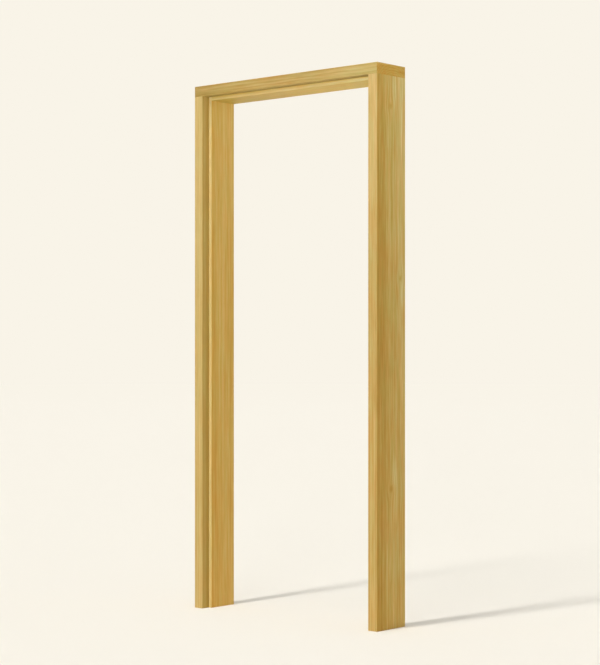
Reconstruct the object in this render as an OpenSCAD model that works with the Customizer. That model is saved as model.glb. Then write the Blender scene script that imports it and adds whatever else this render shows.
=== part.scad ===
// Rebated timber door frame for a single leaf: two jambs, a head and six corner screws.
// Sizes are in millimetres. The origin is on the floor, at the middle of the width and depth.
// +Z is up, and the leaf closes into the rebate from the front, which faces -Y.

/* [Frame] */
// Overall height, from the floor to the top of the head
frame_h = 2100; // [1800:1:2700]
// Overall width, over the outer faces of the jambs
frame_w = 940; // [600:1:1400]
// Depth of the head and jambs, from the front face to the back face
frame_d = 170; // [110:1:260]

/* [Timber section] */
// Thickness of a timber beside the leaf, in front of the stop
face_t = 42; // [30:1:60]
// How far the stop stands out from the rebate
stop_t = 15; // [8:1:25]
// Depth of the rebate, from the front face to the stop
rebate_d = 38; // [30:1:60]
// Radius of the eased edges
edge_r = 1.5; // [0.5:0.1:3]

/* [Corner screws] */
// Screws through the head into each jamb
screw_count = 3; // [2:1:4]
// From the front or back face of the frame to the nearest screw
screw_margin = 30; // [15:1:45]
// Length of a screw, from the top of its head to its point
screw_l = 120; // [90:5:160]
// Diameter over the thread, which the hole through the head lets pass
thread_d = 6; // [5:0.5:7]
// Diameter of the core under the thread
core_d = 4; // [3:0.1:4.2]
// Diameter of the plain shank under the screw's head
shank_d = 4.4; // [4:0.1:5]
// Length of the threaded part, with the point
thread_l = 70; // [40:5:80]
// Length over which the shank narrows to the core
run_out = 1; // [0.5:0.5:3]
// Length of the point
point_l = 9; // [5:1:15]
// Diameter of the screw's head
screw_head_d = 12; // [10:0.5:14]
// Height of the straight rim above the cone of the screw's head
screw_rim = 0.6; // [0.3:0.1:1]
// Depth of the screw's head below the top of the frame
screw_sink = 0.5; // [0:0.1:2]

/* [Cross recess] */
// Width across the wings of the recess at its mouth
recess_d = 6.4; // [4:0.2:7]
// Width across the wings at the floor of the recess
recess_floor_d = 2.6; // [1.5:0.1:3]
// Thickness of each wing
recess_wing = 1.3; // [0.8:0.1:1.6]
// Depth of the recess
recess_depth = 3.2; // [2:0.1:3.5]

/* [Clearances] */
// Between a screw and the wood that it fills or bears on
fit_gap = 0.1; // [0.05:0.05:0.2]
// Between the thread and the hole through the head
pass_gap = 0.3; // [0.2:0.1:1]
// Room left in the jamb under the screw's point
point_room = 4; // [1:1:10]

/* [Hidden] */
$fn = 48;
jamb_color = [0.83, 0.70, 0.44];
head_color = [0.78, 0.62, 0.36];
screw_color = [0.74, 0.72, 0.66];
stop_depth = frame_d - rebate_d;
timber_t = face_t + stop_t;
jamb_h = frame_h - face_t;
opening_w = frame_w - 2 * timber_t;
screw_top = frame_h - screw_sink;
screw_x = (frame_w - face_t) / 2;
screw_pitch = (frame_d - 2 * screw_margin) / (screw_count - 1);
head_r = screw_head_d / 2;
core_r = core_d / 2;
shank_r = shank_d / 2;
shank_l = screw_l - thread_l;
pass_r = thread_d / 2 + pass_gap;
cut = 1;

// A rectangle with its four corners eased, from the origin along +X and +Y.
module eased_rectangle(w, d) {
    translate([edge_r, 0]) square([w - 2 * edge_r, d]);
    translate([0, edge_r]) square([w, d - 2 * edge_r]);
    for (x = [edge_r, w - edge_r], y = [edge_r, d - edge_r])
        translate([x, y]) circle(edge_r);
}

// The section of every timber. X runs from the wall side to the opening, Y from front to back.
module timber_section() {
    eased_rectangle(face_t, frame_d);
    translate([0, rebate_d]) eased_rectangle(timber_t, stop_depth);
}

// One screw without its thread, hanging from the middle of its head's top at the origin.
module screw() {
    cone_end = screw_rim + head_r - shank_r;
    difference() {
        rotate_extrude() polygon([
            [0, 0], [head_r, 0], [head_r, -screw_rim], [shank_r, -cone_end],
            [shank_r, -shank_l], [core_r, -shank_l - run_out],
            [core_r, point_l - screw_l], [0, -screw_l]
        ]);
        translate([0, 0, -recess_depth]) cross_recess();
    }
}

// The tapering cross that the driver fits, from its floor to above its mouth.
module cross_recess() {
    intersection() {
        union() {
            cylinder(h = recess_depth, d1 = recess_floor_d, d2 = recess_d);
            translate([0, 0, recess_depth]) cylinder(h = cut, d = recess_d);
        }
        for (turn = [0, 90]) rotate([0, 0, turn])
            translate([-recess_d, -recess_wing / 2, 0])
                cube([2 * recess_d, recess_wing, recess_depth + cut]);
    }
}

// The hole that a screw passes in the head, countersunk to seat the screw's head.
module countersunk_hole() {
    seat_r = head_r + fit_gap;
    seat_h = seat_r - pass_r;
    translate([0, 0, -screw_rim]) cylinder(h = screw_rim + screw_sink + cut, r = seat_r);
    translate([0, 0, -screw_rim - seat_h]) cylinder(h = seat_h, r1 = pass_r, r2 = seat_r);
    translate([0, 0, -face_t - cut]) cylinder(h = face_t, r = pass_r);
}

// The stepped pilot hole for a screw's shank and core, with its drilled point.
module pilot_hole() {
    hole_r = core_r + fit_gap;
    wide_l = shank_l + run_out;
    straight_l = screw_l - point_l + point_room;
    translate([0, 0, -wide_l]) cylinder(h = wide_l, r = shank_r + fit_gap);
    translate([0, 0, -straight_l]) cylinder(h = straight_l, r = hole_r);
    translate([0, 0, -straight_l - point_l]) cylinder(h = point_l, r1 = 0, r2 = hole_r);
}

// Repeats a child at each screw of one corner, where side is -1 on the left and 1 on the right.
module at_corner_screws(side) {
    for (i = [0 : screw_count - 1])
        translate([side * screw_x, screw_margin + i * screw_pitch - frame_d / 2, screw_top])
            children();
}

// A jamb on the left, standing on the floor with its wall side at the frame's outer face.
module jamb_timber() {
    translate([-frame_w / 2, -frame_d / 2, 0]) linear_extrude(jamb_h) timber_section();
}

// The head as it comes from the moulder, in place across the frame and cut to its width.
module head_timber() {
    intersection() {
        translate([-frame_w / 2, -frame_d / 2, frame_h]) rotate([0, 90, 0])
            linear_extrude(frame_w) timber_section();
        translate([-frame_w / 2, -frame_d / 2, 0]) linear_extrude(frame_h)
            eased_rectangle(frame_w, frame_d);
    }
}

// What the shoulder cut takes off one end of the head, so that it sits on the jamb.
module shoulder_cut(side) {
    translate([side * (opening_w + timber_t + cut) / 2, 0, jamb_h - (stop_t + cut) / 2])
        cube([timber_t + cut, frame_d + 2 * cut, stop_t + cut], center = true);
}

module head() {
    color(head_color) difference() {
        head_timber();
        for (side = [-1, 1]) {
            shoulder_cut(side);
            at_corner_screws(side) countersunk_hole();
        }
    }
}

module left_jamb() {
    color(jamb_color) difference() {
        jamb_timber();
        at_corner_screws(-1) pilot_hole();
    }
}

module right_jamb() {
    color(jamb_color) difference() {
        mirror([1, 0, 0]) jamb_timber();
        at_corner_screws(1) pilot_hole();
    }
}

module left_corner_screws() {
    color(screw_color) at_corner_screws(-1) screw();
}

module right_corner_screws() {
    color(screw_color) at_corner_screws(1) screw();
}

head();
left_jamb();
right_jamb();
left_corner_screws();
right_corner_screws();
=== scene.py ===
import math

import bmesh
import bpy
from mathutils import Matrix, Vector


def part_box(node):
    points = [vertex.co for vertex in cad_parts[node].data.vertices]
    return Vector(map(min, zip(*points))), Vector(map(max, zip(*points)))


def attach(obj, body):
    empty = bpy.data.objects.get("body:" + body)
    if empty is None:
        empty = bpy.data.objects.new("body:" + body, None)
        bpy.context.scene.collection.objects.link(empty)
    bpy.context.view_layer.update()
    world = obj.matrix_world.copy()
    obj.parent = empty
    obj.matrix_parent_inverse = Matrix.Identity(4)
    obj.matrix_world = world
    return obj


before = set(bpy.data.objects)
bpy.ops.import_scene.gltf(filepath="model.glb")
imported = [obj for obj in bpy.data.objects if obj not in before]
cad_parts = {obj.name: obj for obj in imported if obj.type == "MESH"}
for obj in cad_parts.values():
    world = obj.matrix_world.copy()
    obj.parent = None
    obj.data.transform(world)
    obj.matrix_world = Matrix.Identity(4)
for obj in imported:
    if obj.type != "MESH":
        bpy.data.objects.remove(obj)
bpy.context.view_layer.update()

# Camera
camera_place = (4.511, -5.136, 1.031)
camera_heading = math.radians(41.17)
camera_lens_mm = 95.02
camera_shift_up = 0.0292

# Floor and backdrop. The floor's glow rises to 1 between the two distances of its fade.
backdrop_color = (0.947, 0.904, 0.807, 1.0)
floor_half = 600.0
floor_glow = 0.2
floor_fade = (14.0, 50.0)

# Lamps, with elevations in degrees. A key's share is its level on the floor, and the fill's is its
# level on the middle plane of the frame.
white = (1.0, 1.0, 1.0, 1.0)
sky_light = 0.475
key_foot = (-0.52, -6.36)
key_distance = 6.3
key_elevations = (47, 52, 56, 60, 64, 68, 73, 79)
key_share = 0.0606
key_spread = 0.048
fill_place = (2.6, -6.0, 1.2)
fill_share = 0.25
fill_radius = 1.2

# Timber section: over the stop, in front of it, and the rebate's depth
timber_across = 0.057
rebate_across = 0.042
rebate_depth = 0.038

# Telling faces apart: the part of a normal along an axis, and how far off its plane a face may lie
face_turn = (0.55, 0.85)
stop_reach = 0.004
side_reach = 0.002

# Noises of the wood: width across the grain, length along it, start, detail and roughness. Each has a
# start of its own, so that no two lie over each other.
wood_noises = {
    "band": (0.040, 0.60, 1.0, 2.0, 0.5),
    "streak": (0.011, 0.30, 3.0, 3.0, 0.6),
    "hairline": (0.0045, 0.10, 5.0, 2.0, 0.5),
    "fibre": (0.0009, 0.085, 7.0, 2.0, 0.5),
    "fleck": (0.0007, 0.014, 9.0, 1.0, 0.5),
    "drift_across": (0.30, 1.1, 11.0, 1.0, 0.5),
    "stripe": (0.008, 2.4, 13.0, 3.0, 0.7),
    "drift_back": (0.30, 1.1, 23.0, 1.0, 0.5),
    "hue": (0.026, 0.16, 31.0, 3.5, 0.65),
    "ring": (0.02, 2.5, 41.0, 2.0, 0.5),
}
noise_middle = 0.5
drift_width = 0.010
fleck_edge = (0.60, 0.74)

# Growth rings: how uneven they are, and where in one the late wood sets in and stops
ring_uneven = 0.9
ring_rise = (0.35, 0.88)
ring_fall = (1.0, 0.9)

# Figure of the long faces: weight of each noise, and its strength on the side of the rebate
band_weight = 0.40
streak_weight = 0.50
stripe_weight = 0.45
hairline_weight = 0.55
rebate_figure = 0.3

# Figure of a sawn end: its bands, and its tones from the wall side to the stop. The palest tone, at the wall
# side, is a painted highlight along that edge.
end_band_width = 0.010
end_band_length = 0.22
end_band_detail = 3.0
end_band_roughness = 0.6
end_band_weight = 0.6
end_hairline_weight = 0.2
end_tone = ((0.0, 0.74), (0.12, 0.53), (0.5, 0.43), (0.74, 0.52))

# Tone of the wood, from 0 for dark to 1 for pale, and how much each mark adds to it
middle_tone = 0.5
tone_depth = 1.35
fibre_tone = 0.25
mark_tones = {"ring": -0.10, "fleck": -0.06, "knot": -0.22, "pale": 0.14, "dark": -0.11}

# Patches of hue, and how far each mark leans to olive, the painted shade in the rebate's corner among them
orange_tint = (1.028, 0.955, 0.90, 1.0)
olive_tint = (0.972, 1.040, 1.06, 1.0)
middle_hue = 0.5
hue_edge = (0.34, 0.66)
mark_olives = {"dark": 0.6, "pale": 0.8, "corner": 0.5}

# How far the painted shade of the rebate's corner reaches onto the stop, and how far the stop follows the
# change along a timber
corner_reach = 0.006
stop_tint_share = 0.6

# Where a dark patch begins and is full, in parts of its own width and length
patch_edge = (1.0, 0.2)

# Knots, in their own radii: where a knot and the pale wood by it begin and are full, and how far the
# grain bends round it. Both are stretched along the grain.
knot_edge = (1.3, 0.1)
pale_edge = (1.8, 0.4)
bend_reach = 2.5
bend_share = 0.7
knot_stretch = 1.5
pale_stretch = 5.0

# Relief and gloss of the wood
fine_reliefs = {"fibre": 0.7, "hairline": 0.5}
mark_reliefs = {"ring": 0.35, "fleck": -0.8}
relief_strength = 0.35
relief_height = 0.0003
wood_roughness = 0.46
fibre_roughness = 0.16
end_roughness = 0.18
wood_specular = 0.20

# Zinc on the screws
zinc_dark = (0.60, 0.57, 0.49, 1.0)
zinc_bright = (0.74, 0.72, 0.66, 1.0)
cloud_scale = 260.0
cloud_detail = 3.0
spangle_scale = 900.0
spangle_share = 0.10
turned_scale = 9000.0
turned_strength = 0.15
turned_height = 0.00005
# Painted shade: the recess of each screw head darkens from its mouth down to its floor, and stays dark
# below.
recess_floor_depth = 0.0032
recess_mouth_depth = 0.0004
recess_shade = 0.55
zinc_roughness = 0.22
cloud_roughness = 0.25

# Screw thread. Its ridge sinks a little into the core, and stops just short of the point.
thread_pitch = 0.003
thread_r = 0.003
core_r = 0.002
thread_l = 0.068
point_l = 0.009
point_gap = 0.001
turn_steps = 28
root_half = 0.0008
crest_half = 0.0001
root_share = 0.96
start_turns = 2
end_turns = 1.4


class Tree:
    """The nodes of one material, world or lamp, with a short call for each kind in use."""

    def __init__(self, owner):
        owner.use_nodes = True
        self.nodes = owner.node_tree.nodes
        self.links = owner.node_tree.links
        self.nodes.clear()

    def feed(self, socket, value):
        if isinstance(value, bpy.types.NodeSocket):
            self.links.new(value, socket)
        else:
            socket.default_value = value

    def node(self, kind, inputs=None, **settings):
        made = self.nodes.new(kind)
        for name, value in settings.items():
            setattr(made, name, value)
        for name, value in (inputs or {}).items():
            self.feed(made.inputs[name], value)
        return made

    def math(self, operation, a, b=0.0, c=0.0):
        return self.node("ShaderNodeMath", {0: a, 1: b, 2: c}, operation=operation).outputs[0]

    def remap(self, value, low, high, to_low=0.0, to_high=1.0):
        inputs = {"Value": value, "From Min": low, "From Max": high, "To Min": to_low, "To Max": to_high}
        return self.node("ShaderNodeMapRange", inputs, interpolation_type="SMOOTHSTEP").outputs[0]

    def ramp(self, value, stops):
        """A colour that changes smoothly over its stops."""
        made = self.node("ShaderNodeValToRGB", {"Fac": value})
        made.color_ramp.interpolation = "B_SPLINE"
        elements = made.color_ramp.elements
        while len(elements) < len(stops):
            elements.new(1.0)
        for element, (position, color) in zip(elements, stops):
            element.position = position
            element.color = (*color, 1.0)
        return made.outputs["Color"]

    def gray_ramp(self, value, stops):
        return self.ramp(value, [(at, (tone, tone, tone)) for at, tone in stops])

    def mix(self, factor, a, b):
        """A number between two others."""
        return self.node("ShaderNodeMix", {0: factor, 2: a, 3: b}).outputs[0]

    def mix_color(self, factor, a, b, blend="MIX"):
        settings = {"data_type": "RGBA", "blend_type": blend}
        return self.node("ShaderNodeMix", {0: factor, 6: a, 7: b}, **settings).outputs[2]

    def vector(self, x, y, z):
        return self.node("ShaderNodeCombineXYZ", {0: x, 1: y, 2: z}).outputs[0]

    def split(self, vector):
        return self.node("ShaderNodeSeparateXYZ", {0: vector}).outputs

    def noise(self, vector, detail=2.0, roughness=0.5, scale=1.0):
        inputs = {"Vector": vector, "Scale": scale, "Detail": detail, "Roughness": roughness}
        return self.node("ShaderNodeTexNoise", inputs).outputs["Fac"]

    def distance(self, a, b):
        square = self.math("MULTIPLY_ADD", a, a, self.math("MULTIPLY", b, b))
        return self.math("SQRT", square)

    def largest(self, values):
        """The largest of some values, and 0 where there are none."""
        most = 0.0
        for value in values:
            most = self.math("MAXIMUM", most, value)
        return most

    def add_parts(self, total, parts):
        """A total and some parts, each times its weight."""
        for part, weight in parts:
            total = self.math("MULTIPLY_ADD", part, weight, total)
        return total

    def add_noises(self, total, parts):
        """A total and some noises, each taken from its middle and times its weight."""
        for part, weight in parts:
            from_middle = self.math("SUBTRACT", part, noise_middle)
            total = self.math("MULTIPLY_ADD", from_middle, weight, total)
        return total


class Grain:
    """Places in one timber: across from its wall face, back from its front face, and along it."""

    def __init__(self, tree, node, look):
        low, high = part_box(node)
        side = look["side"]
        coordinates = tree.node("ShaderNodeTexCoord").outputs
        place = tree.split(coordinates["Object"])
        normal = tree.split(coordinates["Normal"])
        self.tree = tree
        self.seed = look["seed"]
        if side == 0:
            self.across = tree.math("SUBTRACT", high.z, place[2])
            self.along = tree.math("SUBTRACT", place[0], low.x)
            self.length = high.x - low.x
            turned = (normal[2], normal[1], normal[0])
        else:
            wall = low.x if side < 0 else high.x
            self.across = tree.math("MULTIPLY", tree.math("SUBTRACT", place[0], wall), -side)
            self.along = tree.math("SUBTRACT", place[2], low.z)
            self.length = high.z - low.z
            turned = (normal[0], normal[1], normal[2])
        self.back = tree.math("SUBTRACT", place[1], low.y)
        self.depth = high.y - low.y
        self.find_faces(turned)

    def find_faces(self, turned):
        """Tells the faces apart by how a surface is turned and where it lies in the section."""
        tree = self.tree
        wide, narrow, end = [tree.remap(tree.math("ABSOLUTE", part), *face_turn) for part in turned]
        at_wall = tree.math("LESS_THAN", self.across, rebate_across / 2)
        at_back = tree.math("GREATER_THAN", self.back, self.depth / 2)
        at_stop = tree.math("COMPARE", self.back, rebate_depth, stop_reach)
        beside_leaf = tree.math("COMPARE", self.across, rebate_across, side_reach)
        ahead = tree.math("LESS_THAN", self.back, rebate_depth)
        self.wide_face = wide
        self.narrow_face = narrow
        self.end_face = end
        self.wall_face = tree.math("MULTIPLY", wide, at_wall)
        self.back_face = tree.math("MULTIPLY", narrow, at_back)
        self.stop_face = tree.math("MULTIPLY", narrow, at_stop)
        self.rebate_side = tree.math("MULTIPLY", tree.math("MULTIPLY", beside_leaf, ahead), wide)

    def noise(self, name):
        """One of the wood's noises, drawn out along the grain."""
        width, length, start, detail, roughness = wood_noises[name]
        tree = self.tree
        vector = tree.vector(
            tree.math("DIVIDE", self.across, width),
            tree.math("DIVIDE", self.back, width),
            tree.math("MULTIPLY_ADD", self.along, 1.0 / length, self.seed + start),
        )
        return tree.noise(vector, detail, roughness)

    def drift(self):
        """Bends the grain a little, so that its lines wander along the timber."""
        self.across = self.tree.math("ADD", self.across, self.shift("drift_across"))
        self.back = self.tree.math("ADD", self.back, self.shift("drift_back"))

    def shift(self, name):
        from_middle = self.tree.math("SUBTRACT", self.noise(name), noise_middle)
        return self.tree.math("MULTIPLY", from_middle, drift_width)

    def patch(self, across, along, width, length):
        """How far a place is in a long soft patch of the narrow faces."""
        tree = self.tree
        dx = tree.math("MULTIPLY", tree.math("SUBTRACT", self.across, across), 1.0 / width)
        dz = tree.math("MULTIPLY", tree.math("SUBTRACT", self.along, along), 1.0 / length)
        inside = tree.remap(tree.distance(dx, dz), *patch_edge)
        return tree.math("MULTIPLY", inside, self.narrow_face)

    def part_round(self, back, along, radius, pale_back, pale_rise):
        """Parts the grain round a knot. Gives how far a place is in the knot, and in the pale wood by it."""
        tree = self.tree
        pale = self.spot(back + pale_back, along + pale_rise, pale_stretch)
        pale = tree.remap(pale, pale_edge[0] * radius, pale_edge[1] * radius)
        near = self.spot(back, along, knot_stretch)
        spread = tree.math("DIVIDE", tree.math("MULTIPLY", near, near), -((bend_reach * radius) ** 2))
        pull = tree.math("MULTIPLY", tree.math("EXPONENT", spread), bend_share)
        from_knot = tree.math("SUBTRACT", self.back, back)
        self.back = tree.math("SUBTRACT", self.back, tree.math("MULTIPLY", from_knot, pull))
        return tree.remap(near, knot_edge[0] * radius, knot_edge[1] * radius), pale

    def spot(self, back, along, stretch):
        """Distance from a spot on a wide face, stretched along the grain."""
        tree = self.tree
        dy = tree.math("SUBTRACT", self.back, back)
        dz = tree.math("MULTIPLY", tree.math("SUBTRACT", self.along, along), 1.0 / stretch)
        return tree.distance(dy, dz)


def rings(grain, pith, spacing):
    """Growth rings round a pith beyond the timber: pale early wood that darkens to a thin late band."""
    tree = grain.tree
    dx = tree.math("SUBTRACT", grain.across, pith[0])
    dy = tree.math("SUBTRACT", grain.back, pith[1])
    uneven = tree.math("MULTIPLY", grain.noise("ring"), ring_uneven)
    count = tree.math("MULTIPLY_ADD", tree.distance(dx, dy), 1.0 / spacing, uneven)
    phase = tree.math("FRACT", count)
    rise = tree.remap(phase, *ring_rise)
    fall = tree.remap(phase, *ring_fall)
    return tree.math("MULTIPLY", rise, fall)


def face_color(grain, look):
    """The colour of each kind of face, before its figure. The rebate's side is darkened as painted shade,
    the stop lightened as painted light, and the narrow front faces are paler than the back ones, partly as
    painted light.
    """
    tree = grain.tree
    color = tree.mix_color(grain.narrow_face, look["wide"], look["narrow"])
    masks = {
        "wall": grain.wall_face,
        "back": grain.back_face,
        "end": grain.end_face,
        "stop": grain.stop_face,
        "rebate": grain.rebate_side,
    }
    for face, mask in masks.items():
        color = tree.mix_color(mask, color, look[face])
    return color


def section_tone(grain, look):
    """How the tone changes over the section, with painted shade in the rebate's corner. Gives too how far a
    place is in that painted shade.
    """
    tree = grain.tree
    by_back = tree.gray_ramp(tree.math("DIVIDE", grain.back, grain.depth), look["back_tone"])
    by_across = tree.gray_ramp(tree.math("DIVIDE", grain.across, timber_across), look["across_tone"])
    tone = tree.add_noises(0.0, ((by_back, 1.0), (by_across, 1.0)))
    # Painted shade: darker towards the rebate's inner corner, on the rebate's side and along the stop's
    # inner edge.
    side = tree.remap(grain.back, look["corner_start"] * rebate_depth, rebate_depth)
    side = tree.math("MULTIPLY", side, grain.rebate_side)
    stop = tree.remap(grain.across, rebate_across + corner_reach, rebate_across)
    stop = tree.math("MULTIPLY", stop, grain.stop_face)
    tone = tree.add_parts(tone, ((side, -look["corner_side"]), (stop, -look["corner_stop"])))
    return tone, side


def length_tint(grain, look):
    """How the colour changes from one end to the other: painted light on the jambs, paler towards the top,
    and darker towards the left end on the head.
    """
    tree = grain.tree
    place = tree.math("DIVIDE", grain.along, grain.length)
    narrow = tree.ramp(place, look["length_tint"])
    wide = tree.ramp(place, look.get("wide_length_tint", look["length_tint"]))
    share = tree.mix(grain.stop_face, 1.0, stop_tint_share)
    share = tree.mix(grain.rebate_side, share, look["rebate_tint_share"])
    return tree.mix_color(share, white, tree.mix_color(grain.wide_face, narrow, wide))


def long_grain(grain, look, hairline):
    """The figure of the faces that run along the grain: soft bands, streaks and fine lines."""
    tree = grain.tree
    figure = tree.add_noises(0.0, (
        (grain.noise("band"), band_weight),
        (grain.noise("streak"), streak_weight),
        (grain.noise("stripe"), stripe_weight),
        (hairline, hairline_weight),
    ))
    strength = tree.mix(grain.narrow_face, look["wide_figure"], look["narrow_figure"])
    strength = tree.mix(grain.rebate_side, strength, rebate_figure)
    return tree.math("MULTIPLY", figure, strength)


def end_grain(grain, hairline):
    """The figure of a sawn end, with a painted highlight that makes it palest along its upper edge."""
    tree = grain.tree
    across = tree.math("DIVIDE", grain.across, end_band_width)
    back = tree.math("DIVIDE", grain.back, end_band_length)
    band = tree.noise(tree.vector(across, back, grain.seed), end_band_detail, end_band_roughness)
    by_across = tree.gray_ramp(tree.math("DIVIDE", grain.across, timber_across), end_tone)
    parts = ((band, end_band_weight), (hairline, end_hairline_weight), (by_across, 1.0))
    return tree.add_noises(0.0, parts)


def hue_tint(grain, depth, olive):
    """Patches that lean to orange and to olive."""
    tree = grain.tree
    half = depth / 2
    lean = tree.remap(grain.noise("hue"), *hue_edge, middle_hue - half, middle_hue + half)
    return tree.mix_color(tree.math("ADD", lean, olive), orange_tint, olive_tint)


def find_marks(grain, look):
    """How far a place is in each kind of mark. On the way the grain drifts, and parts round the knots."""
    tree = grain.tree
    dark = tree.largest([grain.patch(*place) for place in look["dark_patches"]])
    grain.drift()
    parted = [grain.part_round(*place) for place in look["knots"]]
    return {
        "dark": dark,
        "knot": tree.largest([in_knot for in_knot, in_pale in parted]),
        "pale": tree.largest([in_pale for in_knot, in_pale in parted]),
        "hairline": grain.noise("hairline"),
        "fibre": grain.noise("fibre"),
        "fleck": tree.remap(grain.noise("fleck"), *fleck_edge),
        "ring": rings(grain, look["pith"], look["ring_spacing"]),
    }


def weighed(marks, weights):
    """The marks that have a weight, each with it."""
    return [(marks[name], weight) for name, weight in weights.items()]


def wood_tone(grain, look, marks, by_section):
    """How light the wood is, from its figure, its fibres and its marks."""
    tree = grain.tree
    along = tree.math("ADD", long_grain(grain, look, marks["hairline"]), by_section)
    figure = tree.mix(grain.end_face, along, end_grain(grain, marks["hairline"]))
    tone = tree.add_noises(tree.math("ADD", figure, middle_tone), ((marks["fibre"], fibre_tone),))
    return tree.add_parts(tone, weighed(marks, mark_tones))


def wood_relief(grain, marks):
    """The fine relief of the grain, as a normal."""
    tree = grain.tree
    height = tree.add_noises(noise_middle, weighed(marks, fine_reliefs))
    height = tree.add_parts(height, weighed(marks, mark_reliefs))
    inputs = {"Strength": relief_strength, "Distance": relief_height, "Height": height}
    return tree.node("ShaderNodeBump", inputs).outputs[0]


def timber(node, look):
    """Satin golden timber with straight grain."""
    material = bpy.data.materials.new(f"{node}_wood")
    tree = Tree(material)
    grain = Grain(tree, node, look)
    color = face_color(grain, look)
    by_section, corner = section_tone(grain, look)
    by_length = length_tint(grain, look)
    marks = find_marks(grain, look)
    marks["corner"] = corner
    tone = wood_tone(grain, look, marks, by_section)
    density = tree.math("MULTIPLY_ADD", tone, -tone_depth, 1.0 + middle_tone * tone_depth)
    color = tree.node("ShaderNodeGamma", {"Color": color, "Gamma": density}).outputs[0]
    olive = tree.add_parts(0.0, weighed(marks, mark_olives))
    color = tree.mix_color(1.0, color, hue_tint(grain, look["hue_depth"], olive), "MULTIPLY")
    color = tree.mix_color(1.0, color, by_length, "MULTIPLY")
    roughness = tree.math("MULTIPLY_ADD", marks["fibre"], fibre_roughness, wood_roughness)
    roughness = tree.math("MULTIPLY_ADD", grain.end_face, end_roughness, roughness)
    shader = tree.node("ShaderNodeBsdfPrincipled", {
        "Base Color": color,
        "Roughness": roughness,
        "Specular IOR Level": wood_specular,
        "Normal": wood_relief(grain, marks),
    })
    tree.node("ShaderNodeOutputMaterial", {"Surface": shader.outputs[0]})
    return material


def zinc_steel():
    """Bright zinc on steel, with fine turned lines, a faint spangle and painted shade that darkens the
    recess.
    """
    material = bpy.data.materials.new("zinc_steel_finish")
    tree = Tree(material)
    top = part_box("left_corner_screws")[1].z
    place = tree.node("ShaderNodeTexCoord").outputs["Object"]
    height = tree.split(place)[2]
    spangle = tree.node("ShaderNodeTexVoronoi", {"Vector": place, "Scale": spangle_scale}).outputs["Color"]
    cloud = tree.noise(place, cloud_detail, scale=cloud_scale)
    line = tree.noise(tree.vector(0.0, 0.0, tree.math("MULTIPLY", height, turned_scale)))
    shade = tree.remap(height, top - recess_floor_depth, top - recess_mouth_depth, recess_shade, 1.0)
    color = tree.mix_color(cloud, zinc_dark, zinc_bright)
    color = tree.mix_color(spangle_share, color, spangle)
    color = tree.mix_color(1.0, color, tree.vector(shade, shade, shade), "MULTIPLY")
    inputs = {"Strength": turned_strength, "Distance": turned_height, "Height": line}
    shader = tree.node("ShaderNodeBsdfPrincipled", {
        "Base Color": color,
        "Metallic": 1.0,
        "Roughness": tree.math("MULTIPLY_ADD", cloud, cloud_roughness, zinc_roughness),
        "Normal": tree.node("ShaderNodeBump", inputs).outputs[0],
    })
    tree.node("ShaderNodeOutputMaterial", {"Surface": shader.outputs[0]})
    return material


def dress(node, material):
    """Gives a CAD node its finished material."""
    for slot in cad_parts[node].material_slots:
        slot.material = material


def add_object(name, data):
    """Puts a mesh, lamp or camera into the scene."""
    added = bpy.data.objects.new(name, data)
    bpy.context.scene.collection.objects.link(added)
    return added


def thread_profile(down):
    """Radius of the thread's root and crest, at a distance below the thread's top."""
    start = min(1.0, down / (start_turns * thread_pitch))
    from_point = thread_l - down
    core = core_r * min(1.0, from_point / point_l)
    rise = (thread_r - core_r) * start * min(1.0, from_point / (end_turns * thread_pitch))
    return core * root_share, core + rise


def screw_thread(name, x, y, tip, material):
    """A closed ridge that winds down a screw's core to its point, at the height where the real one bites."""
    steps = round(turn_steps * (thread_l - point_gap) / thread_pitch)
    shape = bmesh.new()
    rows = []
    for i in range(steps + 1):
        turn = 2 * math.pi * i / turn_steps
        down = thread_pitch * i / turn_steps
        root, crest = thread_profile(down)
        z = tip + thread_l - down
        section = ((root, root_half), (crest, crest_half), (crest, -crest_half), (root, -root_half))
        row = []
        for r, dz in section:
            row.append(shape.verts.new((x + r * math.cos(turn), y - r * math.sin(turn), z + dz)))
        rows.append(row)
    for upper, lower in zip(rows, rows[1:]):
        for a in range(4):
            b = (a + 1) % 4
            shape.faces.new((upper[a], upper[b], lower[b], lower[a]))
    shape.faces.new(reversed(rows[0]))
    shape.faces.new(rows[-1])
    bmesh.ops.recalc_face_normals(shape, faces=shape.faces)
    mesh = bpy.data.meshes.new(name)
    shape.to_mesh(mesh)
    shape.free()
    mesh.materials.append(material)
    ridge = add_object(name, mesh)
    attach(ridge, "root")


def screw_threads(material):
    """The thread of each corner screw, bedded in the end of its jamb."""
    for side in ("left", "right"):
        low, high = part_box(f"{side}_corner_screws")
        middle = (low + high) / 2
        reach = (high.y - low.y) / 2 - (high.x - low.x) / 2
        for place, y in (("front", -reach), ("middle", 0.0), ("back", reach)):
            screw_thread(f"{side}_{place}_screw_thread", middle.x, middle.y + y, low.z, material)


def floor_finish():
    """A matt pale floor with a little glow of its own, which passes into the backdrop far off."""
    material = bpy.data.materials.new("floor_finish")
    tree = Tree(material)
    place = tree.node("ShaderNodeTexCoord").outputs["Object"]
    away = tree.node("ShaderNodeVectorMath", {0: place}, operation="LENGTH").outputs["Value"]
    glow = tree.remap(away, *floor_fade, floor_glow, 1.0)
    glow = tree.math("MULTIPLY", tree.node("ShaderNodeLightPath").outputs["Is Camera Ray"], glow)
    lit = tree.node("ShaderNodeBsdfDiffuse", {"Color": backdrop_color}).outputs[0]
    glowing = tree.node("ShaderNodeEmission", {"Color": backdrop_color}).outputs[0]
    shader = tree.node("ShaderNodeMixShader", {0: glow, 1: lit, 2: glowing}).outputs[0]
    tree.node("ShaderNodeOutputMaterial", {"Surface": shader})
    return material


def add_floor():
    """A wide floor, level with the feet of the frame."""
    mesh = bpy.data.meshes.new("floor")
    square = [(x * floor_half, y * floor_half, 0.0) for x, y in ((-1, -1), (1, -1), (1, 1), (-1, 1))]
    mesh.from_pydata(square, [], [(0, 1, 2, 3)])
    mesh.materials.append(floor_finish())
    floor = add_object("floor", mesh)


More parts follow.
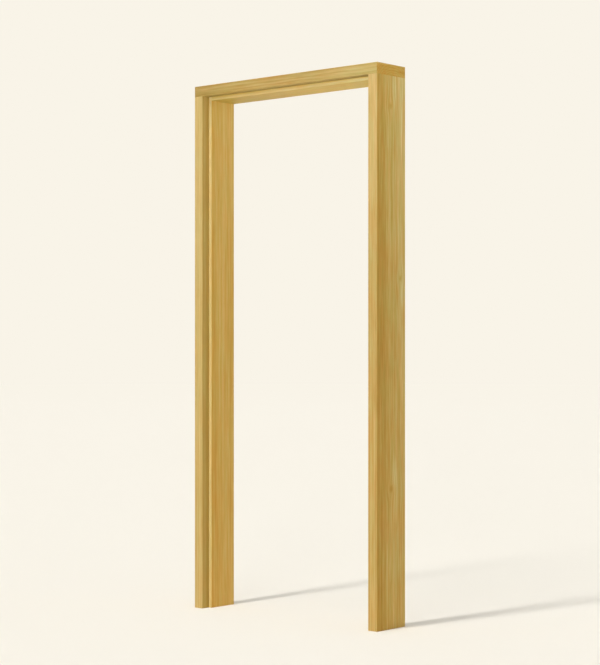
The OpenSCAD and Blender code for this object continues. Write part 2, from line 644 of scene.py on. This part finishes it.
def add_world():
    """Even light from all round. What the camera, gloss and glass see of it is the pale backdrop."""
    world = bpy.data.worlds.new("studio")
    bpy.context.scene.world = world
    tree = Tree(world)
    path = tree.node("ShaderNodeLightPath").outputs
    seen = tree.math("MAXIMUM", path["Is Camera Ray"], path["Is Glossy Ray"])
    seen = tree.math("MAXIMUM", seen, path["Is Transmission Ray"])
    light = tree.node("ShaderNodeBackground", {"Color": white, "Strength": sky_light}).outputs[0]
    backdrop = tree.node("ShaderNodeBackground", {"Color": backdrop_color}).outputs[0]
    shader = tree.node("ShaderNodeMixShader", {0: seen, 1: light, 2: backdrop}).outputs[0]
    tree.node("ShaderNodeOutputWorld", {"Surface": shader})


def add_lamp(name, place, radius, level, to_plane):
    """A soft lamp whose strength grows with distance, so that it lights a whole plane to one level."""
    lamp = bpy.data.lights.new(name, "POINT")
    lamp.energy = 4 * math.pi ** 2 * level / to_plane
    lamp.shadow_soft_size = radius
    tree = Tree(lamp)
    falloff = tree.node("ShaderNodeLightFalloff", {"Strength": 1.0}).outputs
    strength = tree.math("MULTIPLY", falloff["Linear"], falloff["Constant"])
    emission = tree.node("ShaderNodeEmission", {"Strength": strength}).outputs[0]
    tree.node("ShaderNodeOutputLight", {"Surface": emission})
    add_object(name, lamp).location = place


def add_lamps():
    """A tall column of key lamps in front, and a low fill beside it that reaches under the head."""
    for index, elevation in enumerate(key_elevations):
        height = key_distance * math.tan(math.radians(elevation))
        reach = math.hypot(key_distance, height)
        add_lamp(f"key_{index}", (*key_foot, height), key_spread * reach, key_share, height)
    add_lamp("fill", fill_place, fill_radius, fill_share, -fill_place[1])


def add_camera():
    """The photo's view of the frame."""
    data = bpy.data.cameras.new("camera")
    data.lens = camera_lens_mm
    data.shift_y = camera_shift_up
    data.clip_end = 4 * floor_half
    camera = add_object("camera", data)
    camera.location = camera_place
    camera.rotation_euler = (math.pi / 2, 0.0, camera_heading)
    bpy.context.scene.camera = camera


# What a look says beside the colours of its faces:
# side is -1 or 1 for a jamb and 0 for the head, and seed gives a timber a figure of its own.
# pith is the middle of the growth rings, across from the wall face and back from the front face.
# rebate_tint_share is how far the rebate's side follows the change of colour along the timber.
# The start, side and stop values of the corner's painted shade give where it begins, in parts of the
# rebate's depth, and how dark it is on the side and on the stop.
# back_tone runs from front to back, across_tone from wall to stop, and the tints from end to end.
# On the jambs the tints are painted light, paler towards the top; on the head they darken towards the left
# end.
# A knot is its place back and along, its radius, and the place of its pale wood from there.
# A dark patch is its place across and along, its width and its length.
# In each look the rebate colour is darkened as painted shade, the stop colour lightened as painted light,
# and the narrow colour of the front faces is paler than the back colour, partly as painted light.
left_jamb_look = {
    "side": -1,
    "seed": 0.0,
    "pith": (0.117, 0.070),
    "ring_spacing": 0.0105,
    "wide": (0.692, 0.469, 0.128, 1.0),
    "wall": (0.692, 0.469, 0.128, 1.0),
    "narrow": (0.581, 0.437, 0.175, 1.0),
    "back": (0.600, 0.425, 0.135, 1.0),
    "end": (0.60, 0.40, 0.10, 1.0),
    "stop": (0.733, 0.592, 0.282, 1.0),
    "rebate": (0.557, 0.406, 0.127, 1.0),
    "rebate_tint_share": 1.0,
    "wide_figure": 0.75,
    "narrow_figure": 0.6,
    "hue_depth": 0.7,
    "corner_start": 0.70,
    "corner_side": 0.30,
    "corner_stop": 0.0,
    "back_tone": (
        (0.0, 0.50),
        (0.22, 0.44),
        (0.33, 0.45),
        (0.50, 0.50),
        (0.66, 0.58),
        (0.80, 0.49),
        (1.0, 0.55),
    ),
    "across_tone": ((0.0, 0.47), (0.3, 0.54), (0.6, 0.49), (1.0, 0.50)),
    "length_tint": (
        (0.0, (0.90, 0.83, 0.725)),
        (0.3, (0.905, 0.85, 0.735)),
        (0.55, (0.915, 0.875, 0.77)),
        (0.75, (0.94, 0.91, 0.86)),
        (1.0, (1.0, 1.0, 1.0)),
    ),
    "knots": (),
    "dark_patches": (),
}
right_jamb_look = {
    "side": 1,
    "seed": 60.0,
    "pith": (-0.045, 0.050),
    "ring_spacing": 0.0115,
    "wide": (0.642, 0.453, 0.132, 1.0),
    "wall": (0.642, 0.453, 0.132, 1.0),
    "narrow": (0.658, 0.514, 0.246, 1.0),
    "back": (0.560, 0.388, 0.122, 1.0),
    "end": (0.60, 0.40, 0.10, 1.0),
    "stop": (0.733, 0.592, 0.282, 1.0),
    "rebate": (0.585, 0.432, 0.145, 1.0),
    "rebate_tint_share": 1.0,
    "wide_figure": 1.0,
    "narrow_figure": 1.0,
    "hue_depth": 1.1,
    "corner_start": 0.70,
    "corner_side": 0.30,
    "corner_stop": 0.0,
    "back_tone": (
        (0.0, 0.35),
        (0.29, 0.34),
        (0.38, 0.60),
        (0.46, 0.44),
        (0.60, 0.66),
        (0.70, 0.54),
        (0.80, 0.62),
        (1.0, 0.62),
    ),
    "across_tone": ((0.0, 0.50), (0.5, 0.52), (0.74, 0.46), (1.0, 0.50)),
    "length_tint": (
        (0.0, (0.844, 0.761, 0.59)),
        (0.3, (0.84, 0.765, 0.605)),
        (0.55, (0.83, 0.77, 0.62)),
        (0.75, (0.875, 0.84, 0.73)),
        (1.0, (1.0, 1.0, 1.0)),
    ),
    "knots": (
        (0.084, 1.945, 0.010, 0.024, 0.055),
        (0.142, 1.306, 0.009, 0.012, -0.055),
        (0.084, 0.522, 0.010, 0.022, 0.065),
    ),
    "dark_patches": (),
}
head_look = {
    "side": 0,
    "seed": 120.0,
    "pith": (0.110, 0.100),
    "ring_spacing": 0.0095,
    "wide": (0.658, 0.505, 0.112, 1.0),
    "wall": (0.665, 0.490, 0.170, 1.0),
    "narrow": (0.536, 0.419, 0.161, 1.0),
    "back": (0.555, 0.415, 0.135, 1.0),
    "end": (0.660, 0.415, 0.094, 1.0),
    "stop": (0.795, 0.645, 0.292, 1.0),
    "rebate": (0.450, 0.332, 0.098, 1.0),
    "rebate_tint_share": 0.0,
    "wide_figure": 0.8,
    "narrow_figure": 0.9,
    "hue_depth": 1.0,
    "corner_start": 0.55,
    "corner_side": 0.40,
    "corner_stop": 0.28,
    "back_tone": ((0.0, 0.50), (0.5, 0.48), (1.0, 0.52)),
    "across_tone": ((0.0, 0.50), (0.4, 0.53), (0.6, 0.46), (0.75, 0.45), (1.0, 0.50)),
    "length_tint": (
        (0.0, (0.755, 0.648, 0.53)),
        (0.22, (0.912, 0.812, 0.68)),
        (0.45, (0.865, 0.697, 0.552)),
        (0.72, (0.895, 0.815, 0.723)),
        (1.0, (0.970, 0.978, 0.945)),
    ),
    "wide_length_tint": (
        (0.0, (0.83, 0.81, 0.70)),
        (0.15, (0.785, 0.735, 0.645)),
        (0.35, (0.86, 0.715, 0.65)),
        (0.5, (0.93, 0.82, 0.74)),
        (0.68, (0.972, 0.87, 0.80)),
        (0.82, (0.985, 0.89, 0.83)),
        (1.0, (1.08, 1.04, 1.0)),
    ),
    "knots": (),
    "dark_patches": ((0.040, 0.08, 0.024, 0.36),),
}

dress("left_jamb", timber("left_jamb", left_jamb_look))
dress("right_jamb", timber("right_jamb", right_jamb_look))
dress("head", timber("head", head_look))
steel = zinc_steel()
dress("left_corner_screws", steel)
dress("right_corner_screws", steel)
screw_threads(steel)

add_floor()
add_world()
add_lamps()
add_camera()
bpy.context.scene.view_settings.view_transform = "Standard"
